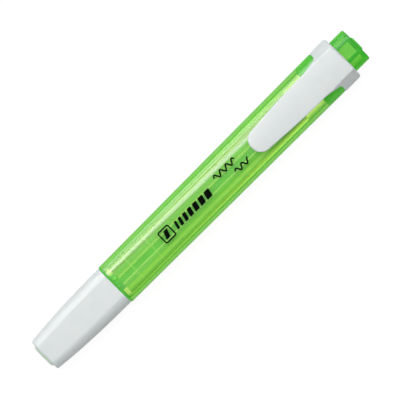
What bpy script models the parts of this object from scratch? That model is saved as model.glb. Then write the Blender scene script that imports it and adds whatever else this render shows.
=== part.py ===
"""Pocket highlighter, capped, lying on its flat back.

Metres, +Z up through the clip. +X runs along the pen from the capped nib to the rear plug.
The origin is under the middle of the pen, on the surface that it lies on. Nearly every piece
is a row of flat-backed ovals round one straight axis, so most shapes are lofts through them.
"""

import math

import bmesh
import bpy

MM = 0.001

# The oval section: elliptical sides joined by a flat front and back.
FLAT_SHARE = 0.42  # of an oval's half width
SIDE_STEPS = 12  # facets down each elliptical side

# Lengths along the pen.
TOTAL_LENGTH = 137.0 * MM
CAP_LENGTH = 30.3 * MM
BUTTON_PROUD = 0.8 * MM  # how far the liner's button stands out of the cap
BARREL_LENGTH = 92.7 * MM  # the part of the barrel that shows
COLLAR_LENGTH = 6.6 * MM
PLUG_PAD_PROUD = 0.5 * MM
SEAM = 0.3 * MM  # gap between pieces that meet end to end
FIT = 0.1 * MM  # gap between pieces that slide one inside the other

# Sections of the outside, as half widths and half heights.
BARREL_FRONT_HALF_WIDTH = 7.37 * MM
BARREL_REAR_HALF_WIDTH = 7.93 * MM
BARREL_HALF_HEIGHT = 5.2 * MM
COLLAR_HALF_WIDTH = 8.05 * MM
CAP_MOUTH_HALF_WIDTH = 7.15 * MM
CAP_MOUTH_HALF_HEIGHT = 4.9 * MM
CAP_NARROWING = 1.39 * MM  # lost from the cap's half width at its closed end
CAP_THINNING = 0.8 * MM  # lost from its half height there
CAP_CURVE = 2.4  # power of the cap's narrowing

# Walls.
BARREL_WALL = 1.3 * MM
FRONT_WALL = 1.4 * MM  # end wall at the barrel's shoulder
CAP_WALL = 1.1 * MM
LINER_WALL = 0.65 * MM
COLLAR_WALL = 0.6 * MM
PLUG_WALL = 0.9 * MM

AXIS_Z = BARREL_HALF_HEIGHT  # the pen's axis above the surface
RIB_WIDTH = 2.84 * MM  # of the ribs that hold the reservoir, front and back
SIDE_RIB_WIDTH = 0.8 * MM

# Stations along X.
CAP_END_X = -TOTAL_LENGTH / 2 + BUTTON_PROUD
CAP_MOUTH_X = CAP_END_X + CAP_LENGTH
SHOULDER_X = CAP_MOUTH_X + SEAM
COLLAR_FRONT_X = SHOULDER_X + BARREL_LENGTH
COLLAR_REAR_X = COLLAR_FRONT_X + COLLAR_LENGTH
PLUG_END_X = TOTAL_LENGTH / 2 - PLUG_PAD_PROUD
SPIGOT_END_X = COLLAR_REAR_X - 1.1 * MM
NECK_END_X = SHOULDER_X - 9.4 * MM
SKIRT_FRONT_X = 48.9 * MM
NIB_TIP_X = -60.9 * MM
NIB_TAIL_X = -29.4 * MM

# Barrel details.
NECK_HALF = (5.85 * MM, 3.62 * MM)
NECK_BORE_HALF = (4.9 * MM, 2.75 * MM)
BEAD_X = SHOULDER_X - 3.4 * MM
BEAD_LENGTH = 0.9 * MM
BEAD_HEIGHT = 0.08 * MM
SPIGOT_HALF = (7.35 * MM, 4.55 * MM)

# Nib and its holder.
NIB_HALF = (2.2 * MM, 1.5 * MM)
NIB_EDGE_HALF_HEIGHT = 0.5 * MM
NIB_WEDGE_LENGTH = 3.3 * MM
NIB_SLANT = 2.2 * MM  # how much further one end of the chisel's edge reaches
HOLDER_FLANGE_LENGTH = 0.9 * MM
HOLDER_TIP_X = -56.5 * MM
HOLDER_BASE_HALF = (4.3 * MM, 2.42 * MM)
HOLDER_TIP_HALF = (3.1 * MM, 2.3 * MM)
VENT_WIDTH = 0.8 * MM

# Ink reservoir.
CORE_HALF = (5.35 * MM, 2.85 * MM)
FILM_WALL = 0.2 * MM
RESERVOIR_FRONT_X = -33.8 * MM
RESERVOIR_REAR_X = 41.3 * MM

# End plug.
POST_HALF = (6.05 * MM, 3.5 * MM)
POST_END_WALL = 1.2 * MM
PAD_HALF = (2.4 * MM, 1.9 * MM)
CELL_RIB_Y = 2.65 * MM  # from the axis to each inner rib
CELL_RIB_THICKNESS = 1.0 * MM

# Clip.
CLIP_TOP_Z = 12.7 * MM
CLIP_THICKNESS = 1.3 * MM
PLATEAU_HALF_WIDTH = 4.8 * MM
CLIP_ROOT_HALF_WIDTH = 5.8 * MM
CLIP_NECK_HALF_WIDTH = 5.15 * MM
CLIP_TIP_HALF_WIDTH = 3.9 * MM
CLIP_TIP_X = 22.7 * MM
CLIP_FLARE_LENGTH = 6.6 * MM
NOSE_PAD_SIZE = (3.6 * MM, 5.0 * MM, 0.7 * MM)

# Cap liner.
LINER_MOUTH_X = NECK_END_X - HOLDER_FLANGE_LENGTH - 3 * SEAM
LINER_STEP_X = CAP_END_X + 1.3 * MM
BUTTON_HALF = (4.1 * MM, 2.2 * MM)
LINER_MOUTH_HALF = (4.42 * MM, 2.54 * MM)  # of its inside
LINER_END_HALF = (3.9 * MM, 2.3 * MM)  # of its inside
LINER_FLANGE_LENGTH = 1.0 * MM

EDGE_ROUND = 0.22 * MM
OVERRUN = 1.0 * MM  # how far a cutter passes the face that it opens

COLOURS = {
    "green": ((0.12, 0.52, 0.04, 1.0), 0.18),
    "white": ((0.83, 0.85, 0.86, 1.0), 0.35),
    "felt": ((0.42, 0.80, 0.10, 1.0), 0.85),
    "film": ((0.55, 0.85, 0.35, 1.0), 0.30),
}


def clear_scene():
    for obj in list(bpy.data.objects):
        bpy.data.objects.remove(obj)


def make_collection(name):
    home = bpy.data.collections.new(name)
    bpy.context.scene.collection.children.link(home)
    return home


def make_material(name, colour, roughness):
    material = bpy.data.materials.new(name)
    material.use_nodes = True
    shader = material.node_tree.nodes["Principled BSDF"]
    shader.inputs["Base Color"].default_value = colour
    shader.inputs["Roughness"].default_value = roughness
    shader.inputs["Metallic"].default_value = 0.0
    return material


def oval(half_width, half_height):
    """(y, z) points round a flat-backed oval centred on the pen's axis."""
    flat = FLAT_SHARE * half_width
    side = half_width - flat
    points = []
    for sign, start in ((1, math.pi / 2), (-1, -math.pi / 2)):
        for step in range(SIDE_STEPS + 1):
            angle = start - sign * math.pi * step / SIDE_STEPS
            y = sign * (flat + side * math.cos(angle))
            points.append((y, AXIS_Z + half_height * math.sin(angle)))
    return points


def mesh_object(name, bm, material, home):
    """An object from a bmesh, with its faces turned outwards. A helper has no material."""
    bmesh.ops.recalc_face_normals(bm, faces=bm.faces)
    mesh = bpy.data.meshes.new(name)
    bm.to_mesh(mesh)
    bm.free()
    obj = bpy.data.objects.new(name, mesh)
    home.objects.link(obj)
    if material:
        mesh.materials.append(material)
        mesh.shade_smooth()
        mesh.set_sharp_from_angle(angle=math.radians(35))
    else:
        obj.hide_render = True
        obj.display_type = "WIRE"
    return obj


def loft(name, stations, material, home, through=False):
    """Skins the ovals of stations (x, half width, half height).

    Stations that run along the outside and back along the inside make a wall. With through,
    the last oval joins the first, so the wall is open at both ends.
    """
    bm = bmesh.new()
    rings = []
    for x, half_width, half_height in stations:
        ring = [bm.verts.new((x, y, z)) for y, z in oval(half_width, half_height)]
        rings.append(ring)
    pairs = list(zip(rings, rings[1:]))
    if through:
        pairs.append((rings[-1], rings[0]))
    else:
        bm.faces.new(rings[0])
        bm.faces.new(rings[-1])
    for near, far in pairs:
        for i in range(len(near)):
            bm.faces.new((near[i - 1], near[i], far[i], far[i - 1]))
    return mesh_object(name, bm, material, home)


def box(name, low, high, material, home):
    """A box between two corners."""
    bm = bmesh.new()
    bmesh.ops.create_cube(bm, size=1.0)
    middle = [(a + b) / 2 for a, b in zip(low, high)]
    size = [b - a for a, b in zip(low, high)]
    bmesh.ops.scale(bm, vec=size, verts=bm.verts)
    bmesh.ops.translate(bm, vec=middle, verts=bm.verts)
    return mesh_object(name, bm, material, home)


def combine(obj, other, operation):
    """Cuts or joins with a Boolean modifier."""
    modifier = obj.modifiers.new(f"{operation.lower()}_{other.name}", "BOOLEAN")
    modifier.operation = operation
    modifier.object = other


def round_edges(obj, width=EDGE_ROUND, segments=2, angle=40):
    modifier = obj.modifiers.new("round_edges", "BEVEL")
    modifier.width = width
    modifier.segments = segments
    modifier.limit_method = "ANGLE"
    modifier.angle_limit = math.radians(angle)


def larger(half, gap):
    """A (half width, half height) grown by a gap all round, or shrunk by a negative one."""
    return half[0] + gap, half[1] + gap


def barrel_half_width(x):
    """The barrel's outer half width, which grows steadily from the shoulder to the collar."""
    along = (x - SHOULDER_X) / (COLLAR_FRONT_X - SHOULDER_X)
    return BARREL_FRONT_HALF_WIDTH + along * (BARREL_REAR_HALF_WIDTH - BARREL_FRONT_HALF_WIDTH)


def barrel_bore(x):
    """Half width and half height of the barrel's inside."""
    return barrel_half_width(x) - BARREL_WALL, BARREL_HALF_HEIGHT - BARREL_WALL


def cap_outside(x):
    """Half width and half height of the cap's outside, full at its mouth."""
    along = (CAP_MOUTH_X - x) / CAP_LENGTH
    return (
        CAP_MOUTH_HALF_WIDTH - CAP_NARROWING * along**CAP_CURVE,
        CAP_MOUTH_HALF_HEIGHT - CAP_THINNING * along**2,
    )


def spaced(start, end, count):
    return [start + (end - start) * i / (count - 1) for i in range(count)]


def make_barrel(material, home, tools):
    """Body, shoulder, neck and rear spigot in one moulding, with four inner ribs."""
    neck = NECK_HALF
    bead = larger(NECK_HALF, BEAD_HEIGHT)
    cavity_front_x = SHOULDER_X + FRONT_WALL
    stations = [
        (SPIGOT_END_X, *SPIGOT_HALF),
        (COLLAR_FRONT_X, *SPIGOT_HALF),
        (COLLAR_FRONT_X, barrel_half_width(COLLAR_FRONT_X), BARREL_HALF_HEIGHT),
        (SHOULDER_X, barrel_half_width(SHOULDER_X), BARREL_HALF_HEIGHT),
        (SHOULDER_X, *neck),
        (BEAD_X + BEAD_LENGTH / 2, *neck),
        (BEAD_X, *bead),
        (BEAD_X - BEAD_LENGTH / 2, *neck),
        (NECK_END_X, *neck),
        (NECK_END_X, *NECK_BORE_HALF),
        (cavity_front_x, *NECK_BORE_HALF),
        (cavity_front_x, *barrel_bore(cavity_front_x)),
        (SPIGOT_END_X, *barrel_bore(SPIGOT_END_X)),
    ]
    barrel = loft("barrel", stations, material, home, through=True)
    round_edges(barrel)
    rib_front_x = cavity_front_x - FRONT_WALL / 3
    rib_rear_x = SKIRT_FRONT_X - SEAM
    held = larger(CORE_HALF, FIT + FILM_WALL + FIT)
    root = larger(barrel_bore(rib_rear_x), BARREL_WALL / 3)
    for name, side in (("front_rib", 1), ("back_rib", -1)):
        inner = AXIS_Z + side * held[1]
        outer = AXIS_Z + side * root[1]
        low = (rib_front_x, -RIB_WIDTH / 2, min(inner, outer))
        high = (rib_rear_x, RIB_WIDTH / 2, max(inner, outer))
        combine(barrel, box(name, low, high, None, tools), "UNION")
    for name, side in (("left_rib", 1), ("right_rib", -1)):
        inner = side * held[0]
        outer = side * root[0]
        low = (rib_front_x, min(inner, outer), AXIS_Z - SIDE_RIB_WIDTH / 2)
        high = (rib_rear_x, max(inner, outer), AXIS_Z + SIDE_RIB_WIDTH / 2)
        combine(barrel, box(name, low, high, None, tools), "UNION")
    return barrel


def make_nib_holder(material, home, tools):
    """Snout that presses into the neck, with a channel for the nib and two air slots."""
    root = larger(NECK_BORE_HALF, -FIT)
    flange = larger(NECK_HALF, -FIT)
    channel = larger(NIB_HALF, FIT)
    flange_rear_x = NECK_END_X - SEAM
    flange_front_x = flange_rear_x - HOLDER_FLANGE_LENGTH
    root_rear_x = SHOULDER_X - 1.0 * MM
    stations = [
        (root_rear_x, *root),
        (flange_rear_x, *root),
        (flange_rear_x, *flange),
        (flange_front_x, *flange),
        (flange_front_x, *HOLDER_BASE_HALF),
        (HOLDER_TIP_X, *HOLDER_TIP_HALF),
        (HOLDER_TIP_X, *channel),
        (root_rear_x, *channel),
    ]
    holder = loft("nib_holder", stations, material, home, through=True)
    round_edges(holder)
    for name, side in (("left_air_slot", 1), ("right_air_slot", -1)):
        near = side * (channel[0] - FIT)
        far = side * (channel[0] + VENT_WIDTH)
        low = (HOLDER_TIP_X - OVERRUN, min(near, far), AXIS_Z - VENT_WIDTH / 2)
        high = (root_rear_x + OVERRUN, max(near, far), AXIS_Z + VENT_WIDTH / 2)
        combine(holder, box(name, low, high, None, tools), "DIFFERENCE")
    return holder


def make_nib(material, home, tools):
    """Felt block with a pointed tail and a slanted chisel edge."""
    wedge_x = NIB_TIP_X + NIB_WEDGE_LENGTH
    tail_half = (NIB_HALF[0] * 0.45, NIB_HALF[1] * 0.45)
    stations = [
        (NIB_TAIL_X, *tail_half),
        (NIB_TAIL_X - 2.2 * MM, *NIB_HALF),
        (wedge_x, *NIB_HALF),
        (NIB_TIP_X, NIB_HALF[0], NIB_EDGE_HALF_HEIGHT),
    ]
    nib = loft("nib", stations, material, home)
    reach = 2 * NIB_HALF[0]
    cutter = box("chisel_cut", (-reach, -reach, -reach), (0.0, reach, reach), None, tools)
    cutter.location = (NIB_TIP_X + NIB_SLANT / 2, 0.0, AXIS_Z)
    cutter.rotation_euler.z = math.atan2(NIB_SLANT / 2, NIB_HALF[0])
    combine(nib, cutter, "DIFFERENCE")
    return nib


def make_reservoir(felt, film, home, tools):
    """Fibre core with a socket for the nib's tail, and the thin film round it."""
    core_stations = [(RESERVOIR_FRONT_X, *CORE_HALF), (RESERVOIR_REAR_X, *CORE_HALF)]
    core = loft("ink_reservoir", core_stations, felt, home)
    socket = larger(NIB_HALF, FIT)
    socket_stations = [(RESERVOIR_FRONT_X - OVERRUN, *socket), (NIB_TAIL_X + SEAM, *socket)]
    combine(core, loft("nib_socket", socket_stations, None, tools), "DIFFERENCE")
    inner = larger(CORE_HALF, FIT)
    outer = larger(inner, FILM_WALL)
    film_stations = [
        (RESERVOIR_FRONT_X, *outer),
        (RESERVOIR_REAR_X, *outer),
        (RESERVOIR_REAR_X, *inner),
        (RESERVOIR_FRONT_X, *inner),
    ]
    return core, loft("reservoir_film", film_stations, film, home, through=True)


def make_end_plug(material, home, tools):
    """Skirt inside the barrel and a hollow post behind the collar, split by two ribs."""
    skirt_front = larger(barrel_bore(SKIRT_FRONT_X), -FIT)
    skirt_rear = larger(barrel_bore(SPIGOT_END_X), -FIT)
    cell_end_x = PLUG_END_X - POST_END_WALL
    step_x = SPIGOT_END_X - POST_END_WALL
    inside = larger(POST_HALF, -PLUG_WALL)
    stations = [
        (PLUG_END_X, *POST_HALF),
        (SPIGOT_END_X, *POST_HALF),
        (SPIGOT_END_X, *skirt_rear),
        (SKIRT_FRONT_X, *skirt_front),
        (SKIRT_FRONT_X, *larger(skirt_front, -PLUG_WALL)),
        (step_x, *larger(skirt_rear, -PLUG_WALL)),
        (step_x, *inside),
        (cell_end_x, *inside),
    ]
    plug = loft("end_plug", stations, material, home)
    round_edges(plug)
    for name, side in (("left_cell_rib", 1), ("right_cell_rib", -1)):
        middle = side * CELL_RIB_Y
        height = POST_HALF[1] - PLUG_WALL / 2
        low = (step_x + SEAM, middle - CELL_RIB_THICKNESS / 2, AXIS_Z - height)
        high = (cell_end_x + POST_END_WALL / 2, middle + CELL_RIB_THICKNESS / 2, AXIS_Z + height)
        combine(plug, box(name, low, high, None, tools), "UNION")
    pad_stations = [(PLUG_END_X - PLUG_PAD_PROUD, *PAD_HALF), (TOTAL_LENGTH / 2, *PAD_HALF)]
    combine(plug, loft("plug_pad", pad_stations, None, tools), "UNION")
    return plug


def make_cap_shell(material, home):
    """The cap's outside, open at the mouth and with a hole at the end for the liner's button."""
    hole = larger(BUTTON_HALF, FIT)
    outside = [(x, *cap_outside(x)) for x in spaced(CAP_MOUTH_X, CAP_END_X, 9)]
    inside = [
        (x, *larger(cap_outside(x), -CAP_WALL)) for x in spaced(CAP_END_X + CAP_WALL, CAP_MOUTH_X, 7)
    ]
    ends = [(CAP_END_X, *hole), (CAP_END_X + CAP_WALL, *hole)]
    shell = loft("cap_shell", outside + ends + inside, material, home, through=True)
    round_edges(shell)
    return shell


def make_inner_cap(material, home, tools):
    """Sealing liner: a cup over the nib, a flange that centres it, and the end button."""
    mouth_inner = LINER_MOUTH_HALF
    end_inner = LINER_END_HALF
    flange_end_x = LINER_MOUTH_X - LINER_FLANGE_LENGTH
    flange = larger(cap_outside(LINER_MOUTH_X), -CAP_WALL - 2 * FIT)
    flange_end = larger(cap_outside(flange_end_x), -CAP_WALL - 2 * FIT)
    stations = [
        (-TOTAL_LENGTH / 2, *BUTTON_HALF),
        (LINER_STEP_X, *BUTTON_HALF),
        (LINER_STEP_X, *larger(end_inner, LINER_WALL)),
        (flange_end_x, *larger(mouth_inner, LINER_WALL)),
        (flange_end_x, *flange_end),
        (LINER_MOUTH_X, *flange),
        (LINER_MOUTH_X, *mouth_inner),
        (LINER_STEP_X + LINER_WALL, *end_inner),
    ]
    liner = loft("inner_cap", stations, material, home)
    round_edges(liner)
    inner_edge = mouth_inner[0] + LINER_WALL
    for name, side in (("left_air_notch", 1), ("right_air_notch", -1)):
        near = side * inner_edge
        far = side * (flange[0] + OVERRUN)
        low = (flange_end_x - OVERRUN, min(near, far), AXIS_Z - VENT_WIDTH)
        high = (LINER_MOUTH_X + OVERRUN, max(near, far), AXIS_Z + VENT_WIDTH)
        combine(liner, box(name, low, high, None, tools), "DIFFERENCE")
    return liner


def make_clip_collar(material, home, tools):
    """Ring round the barrel's spigot, drawn out at the front to the level of the clip."""
    bm = bmesh.new()
    for x in (COLLAR_FRONT_X + SEAM, COLLAR_REAR_X):
        for y, z in oval(COLLAR_HALF_WIDTH, BARREL_HALF_HEIGHT):
            bm.verts.new((x, y, z))
        for side in (-1, 1):
            bm.verts.new((x, side * PLATEAU_HALF_WIDTH, CLIP_TOP_Z))
    hull = bmesh.ops.convex_hull(bm, input=bm.verts)
    inside_hull = [v for v in hull["geom_interior"] if isinstance(v, bmesh.types.BMVert)]
    bmesh.ops.delete(bm, geom=inside_hull, context="VERTS")
    flat = math.radians(1)
    bmesh.ops.dissolve_limit(bm, angle_limit=flat, verts=bm.verts, edges=bm.edges)
    collar = mesh_object("clip_collar", bm, material, home)
    round_edges(collar)
    seat = larger(SPIGOT_HALF, FIT)
    seat_end_x = SPIGOT_END_X + SEAM
    seat_stations = [(COLLAR_FRONT_X - OVERRUN, *seat), (seat_end_x, *seat)]
    combine(collar, loft("collar_seat", seat_stations, None, tools), "DIFFERENCE")
    hole = larger(POST_HALF, FIT)
    hole_stations = [(seat_end_x - OVERRUN, *hole), (COLLAR_REAR_X + OVERRUN, *hole)]
    combine(collar, loft("collar_hole", hole_stations, None, tools), "DIFFERENCE")
    return collar


def clip_half_width(x):
    """The blade widens from its tip, then flares where it joins the collar."""
    flare_x = COLLAR_FRONT_X - CLIP_FLARE_LENGTH
    shoulder_x = CLIP_TIP_X + CLIP_TIP_HALF_WIDTH
    if x < flare_x:
        along = max(0.0, (x - shoulder_x) / (flare_x - shoulder_x))
        growth = math.sin(along * math.pi / 2)
        return CLIP_TIP_HALF_WIDTH + growth * (CLIP_NECK_HALF_WIDTH - CLIP_TIP_HALF_WIDTH)
    along = (x - flare_x) / CLIP_FLARE_LENGTH
    return CLIP_NECK_HALF_WIDTH + along**1.6 * (CLIP_ROOT_HALF_WIDTH - CLIP_NECK_HALF_WIDTH)


def clip_outline():
    """(x, y) points round the blade, from the root down one side, round the tip and back."""
    shoulder_x = CLIP_TIP_X + CLIP_TIP_HALF_WIDTH
    half = [(x, clip_half_width(x)) for x in spaced(COLLAR_FRONT_X, shoulder_x, 12)]
    tip_steps = 8
    for step in range(1, tip_steps):
        angle = math.pi / 2 * step / tip_steps
        x = shoulder_x - CLIP_TIP_HALF_WIDTH * math.sin(angle)
        half.append((x, CLIP_TIP_HALF_WIDTH * math.cos(angle)))
    return half + [(CLIP_TIP_X, 0.0)] + [(x, -y) for x, y in reversed(half)]


def make_clip_blade(material, home, tools):
    """Flat spring blade, with a pad under its tip that grips a pocket."""
    outline = clip_outline()
    curve = bpy.data.curves.new("clip_outline", "CURVE")
    curve.dimensions = "2D"
    curve.fill_mode = "BOTH"
    curve.extrude = CLIP_THICKNESS / 2
    spline = curve.splines.new("POLY")
    spline.points.add(len(outline) - 1)
    for point, (x, y) in zip(spline.points, outline):
        point.co = (x, y, 0.0, 1.0)
    spline.use_cyclic_u = True
    sketch = bpy.data.objects.new("clip_outline", curve)
    sketch.location.z = CLIP_TOP_Z - CLIP_THICKNESS / 2
    home.objects.link(sketch)
    bpy.context.view_layer.update()
    evaluated = sketch.evaluated_get(bpy.context.evaluated_depsgraph_get())
    mesh = bpy.data.meshes.new_from_object(evaluated)
    mesh.transform(sketch.matrix_world)
    bm = bmesh.new()
    bm.from_mesh(mesh)
    bmesh.ops.remove_doubles(bm, verts=bm.verts, dist=0.001 * MM)
    bmesh.ops.dissolve_limit(bm, angle_limit=math.radians(1), verts=bm.verts, edges=bm.edges)
    bpy.data.objects.remove(sketch)
    blade = mesh_object("clip_blade", bm, material, home)
    round_edges(blade)
    length, width, drop = NOSE_PAD_SIZE
    underside_z = CLIP_TOP_Z - CLIP_THICKNESS
    pad_x = CLIP_TIP_X + 1.2 * MM
    low = (pad_x, -width / 2, underside_z - drop)
    high = (pad_x + length, width / 2, underside_z + CLIP_THICKNESS / 2)
    combine(blade, box("nose_pad", low, high, None, tools), "UNION")
    return blade


def hang(objects, name, place, home):
    """Parents the objects, where they are, to an empty on their joint's axis."""
    empty = bpy.data.objects.new(name, None)
    empty.location = place
    home.objects.link(empty)
    bpy.context.view_layer.update()
    for obj in objects:
        obj.parent = empty
        obj.matrix_parent_inverse = empty.matrix_world.inverted()


def main():
    clear_scene()
    home = make_collection("highlighter")
    tools = make_collection("cutters")
    paint = {name: make_material(name, *look) for name, look in COLOURS.items()}

    make_barrel(paint["green"], home, tools)
    make_nib_holder(paint["green"], home, tools)
    make_nib(paint["felt"], home, tools)
    make_reservoir(paint["felt"], paint["film"], home, tools)
    make_end_plug(paint["green"], home, tools)
    make_clip_collar(paint["white"], home, tools)

    cap = [make_cap_shell(paint["white"], home), make_inner_cap(paint["green"], home, tools)]
    hang(cap, "cap_slide", (CAP_MOUTH_X, 0.0, AXIS_Z), home)

    blade = make_clip_blade(paint["white"], home, tools)
    hinge_z = CLIP_TOP_Z - CLIP_THICKNESS / 2
    hang([blade], "clip_hinge", (COLLAR_FRONT_X, 0.0, hinge_z), home)


main()
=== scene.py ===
"""Pocket highlighter: the pieces that show and their materials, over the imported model.

Everything is in metres in the model's frame: X runs along the pen from the capped nib to the
rear plug, Z comes out through the clip, and the pen lies on its flat back at Z 0.
"""

import math

import bmesh
import bpy
from mathutils import Matrix, Vector


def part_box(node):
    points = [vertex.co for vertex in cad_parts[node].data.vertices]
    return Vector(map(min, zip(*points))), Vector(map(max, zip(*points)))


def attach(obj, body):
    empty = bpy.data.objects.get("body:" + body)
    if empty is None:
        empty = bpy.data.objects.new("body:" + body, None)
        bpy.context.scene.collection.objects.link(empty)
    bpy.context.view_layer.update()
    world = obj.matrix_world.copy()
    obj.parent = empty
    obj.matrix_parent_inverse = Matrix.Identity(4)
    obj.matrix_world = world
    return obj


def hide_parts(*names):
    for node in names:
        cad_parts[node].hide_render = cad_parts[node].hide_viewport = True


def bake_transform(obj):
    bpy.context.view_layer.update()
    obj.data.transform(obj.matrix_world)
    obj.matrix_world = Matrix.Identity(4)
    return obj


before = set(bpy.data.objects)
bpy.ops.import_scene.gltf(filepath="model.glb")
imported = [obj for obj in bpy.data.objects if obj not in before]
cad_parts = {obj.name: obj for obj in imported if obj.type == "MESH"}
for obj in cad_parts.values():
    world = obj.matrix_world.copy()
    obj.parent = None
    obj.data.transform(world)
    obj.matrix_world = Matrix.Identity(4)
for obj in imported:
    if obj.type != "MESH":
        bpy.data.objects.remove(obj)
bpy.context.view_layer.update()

MM = 0.001


def span(node, axis):
    """Where a CAD node starts and ends along X (0), Y (1) or Z (2)."""
    low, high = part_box(node)
    return low[axis], high[axis]


# Stations along X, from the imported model.
CAP_END_X, CAP_MOUTH_X = span("cap_shell", 0)
NECK_END_X, SPIGOT_END_X = span("barrel", 0)
CLIP_TIP_X, COLLAR_FRONT_X = span("clip_blade", 0)
CLIP_TIP_X -= 0.2 * MM
COLLAR_REAR_X = span("clip_collar", 0)[1]
SKIRT_FRONT_X, PAD_END_X = span("end_plug", 0)
CORE_FRONT_X = span("ink_reservoir", 0)[0] - 1.1 * MM
CORE_REAR_X = span("ink_reservoir", 0)[1]
NIB_TIP_X, NIB_TAIL_X = span("nib", 0)
HOLDER_TIP_X, HOLDER_ROOT_X = span("nib_holder", 0)
BUTTON_X, LINER_MOUTH_X = span("inner_cap", 0)
CAP_LENGTH = CAP_MOUTH_X - CAP_END_X
SHOULDER_X = CAP_MOUTH_X + 0.3 * MM
CAVITY_X = SHOULDER_X + 0.6 * MM
RIB_END_X = SKIRT_FRONT_X - 0.3 * MM
THIN_SHELL = (CAVITY_X, SKIRT_FRONT_X)  # where the barrel is a plain thin wall
PLUG_END_X = PAD_END_X - 0.5 * MM

# Heights and half widths.
AXIS_Z = span("barrel", 2)[1] / 2
CLIP_TOP_Z = span("clip_collar", 2)[1]
BARREL_HALF_HEIGHT = AXIS_Z
BARREL_FRONT_HALF_WIDTH = 7.37 * MM
BARREL_REAR_HALF_WIDTH = span("barrel", 1)[1]
COLLAR_HALF_WIDTH = span("clip_collar", 1)[1]
CAP_MOUTH_HALF = (span("cap_shell", 1)[1], span("cap_shell", 2)[1] - AXIS_Z)
FILM_HALF = (span("reservoir_film", 1)[1] + 0.3 * MM, span("reservoir_film", 2)[1] - AXIS_Z)
CORE_HALF = (span("ink_reservoir", 1)[1] + 0.3 * MM, span("ink_reservoir", 2)[1] - AXIS_Z)
REAR_SPREAD = 0.4 * MM  # how much wider the reservoir is at its rear, on each side
SPIGOT_HALF = (7.35 * MM, 4.55 * MM)
NECK_HALF = (5.85 * MM, 3.62 * MM)
NECK_BORE_HALF = (4.9 * MM, 2.75 * MM)
POST_HALF = (6.05 * MM, 3.5 * MM)
NIB_HALF = (2.2 * MM, 1.5 * MM)
BARREL_WALL = 1.1 * MM
BORE_HALF_HEIGHT = BARREL_HALF_HEIGHT - BARREL_WALL
CAP_WALL = 1.1 * MM
RIB_HALF_WIDTH = 1.25 * MM
RIB_Y = -0.42 * MM  # the ribs sit a little to one side

FLAT_SHARE = 0.44  # how much of an oval's half width is flat
BARREL_FLAT_SHARE = (0.47, 0.20)  # the same for the barrel's outside, at its front and its rear
BARREL_FLAT_FALL = 0.43  # how fast that falls along the barrel, until it has reached the second
CAP_FLAT_SHARE = 0.53  # the same for the cap
BORE_FLAT_SHARE = 0.6  # the same for the bore, which keeps the wall even round the corners
PACKED_FLAT_SHARE = 0.77  # the same for the reservoir, which fills the bore
SIDE_STEPS = 28  # facets down each elliptical side


# ---------------------------------------------------------------- meshes


def finish_mesh(name, bm, material=None):
    """An object from a bmesh, smooth, with its faces turned outwards."""
    bmesh.ops.recalc_face_normals(bm, faces=bm.faces)
    mesh = bpy.data.meshes.new(name)
    bm.to_mesh(mesh)
    bm.free()
    mesh.shade_smooth()
    mesh.set_sharp_from_angle(angle=math.radians(40))
    obj = bpy.data.objects.new(name, mesh)
    bpy.context.scene.collection.objects.link(obj)
    if material:
        mesh.materials.append(material)
    return obj


def even_shading(obj):
    """Keeps long flat faces flat in the shading, beside narrow rounded edges."""
    modifier = obj.modifiers.new("even_shading", "WEIGHTED_NORMAL")
    modifier.keep_sharp = True
    modifier.weight = 80


def bake_modifiers(obj):
    """Makes the result of an object's modifiers its own mesh."""
    graph = bpy.context.evaluated_depsgraph_get()
    mesh = bpy.data.meshes.new_from_object(obj.evaluated_get(graph))
    obj.modifiers.clear()
    obj.data = mesh


def rounded(corners, closed=False, steps=5):
    """Stations (x, half width, half height) along a profile whose corners carry a radius."""
    stations = []
    last = len(corners) - 1
    for i, (x, half_width, half_height, radius) in enumerate(corners):
        at_end = not closed and i in (0, last)
        if radius == 0 or at_end:
            stations.append((x, half_width, half_height))
            continue
        corner = Vector((x, half_width, half_height))
        arms = []
        for other in (corners[i - 1], corners[(i + 1) % len(corners)]):
            arm = Vector(other[:3]) - corner
            length = math.hypot(arm.x, arm.y)
            arms.append(corner + arm * (min(radius, 0.48 * length) / length))
        for step in range(steps + 1):
            t = step / steps
            point = arms[0] * (1 - t) ** 2 + corner * (2 * t * (1 - t)) + arms[1] * t**2
            stations.append(tuple(point))
    return stations


def oval(half_width, half_height, rib_level=None, flat_share=FLAT_SHARE):
    """(y, z) points round a flat-backed oval on the pen's axis.

    With a rib level, the front and back of the ring step in to that height over the rib.
    """
    flat = flat_share * half_width
    side = half_width - flat
    edge = RIB_HALF_WIDTH
    across = [-edge - 0.15 * MM, -edge, edge, edge + 0.15 * MM]
    low = min(half_height, rib_level) if rib_level else half_height
    points = []
    for sign in (1, -1):
        for step in range(SIDE_STEPS + 1):
            angle = sign * (math.pi / 2 - math.pi * step / SIDE_STEPS)
            points.append((sign * (flat + side * math.cos(angle)), half_height * math.sin(angle)))
        if flat > across[-1] - RIB_Y:
            heights = (half_height, low, low, half_height)
            for y, height in zip(across, heights):
                points.append((-sign * y + RIB_Y, -sign * height))
        else:
            for share in (-0.9, -0.6, 0.6, 0.9):
                points.append((-sign * share * flat, -sign * half_height))
    return [(y, AXIS_Z + z) for y, z in points]


def at_station(x, points):
    """(y, z) points as a ring of (x, y, z) points."""
    return [(x, y, z) for y, z in points]


def skin(rings, closed=False):
    """A bmesh through rings of (x, y, z) points that all have the same count.

    Its ends are capped, unless the last ring joins the first.
    """
    bm = bmesh.new()
    rows = [[bm.verts.new(point) for point in ring] for ring in rings]
    pairs = list(zip(rows, rows[1:]))
    if closed:
        pairs.append((rows[-1], rows[0]))
    else:
        bm.faces.new(rows[0])
        bm.faces.new(rows[-1])
    for near, far in pairs:
        for i in range(len(near)):
            bm.faces.new((near[i - 1], near[i], far[i], far[i - 1]))
    return bm


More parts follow.
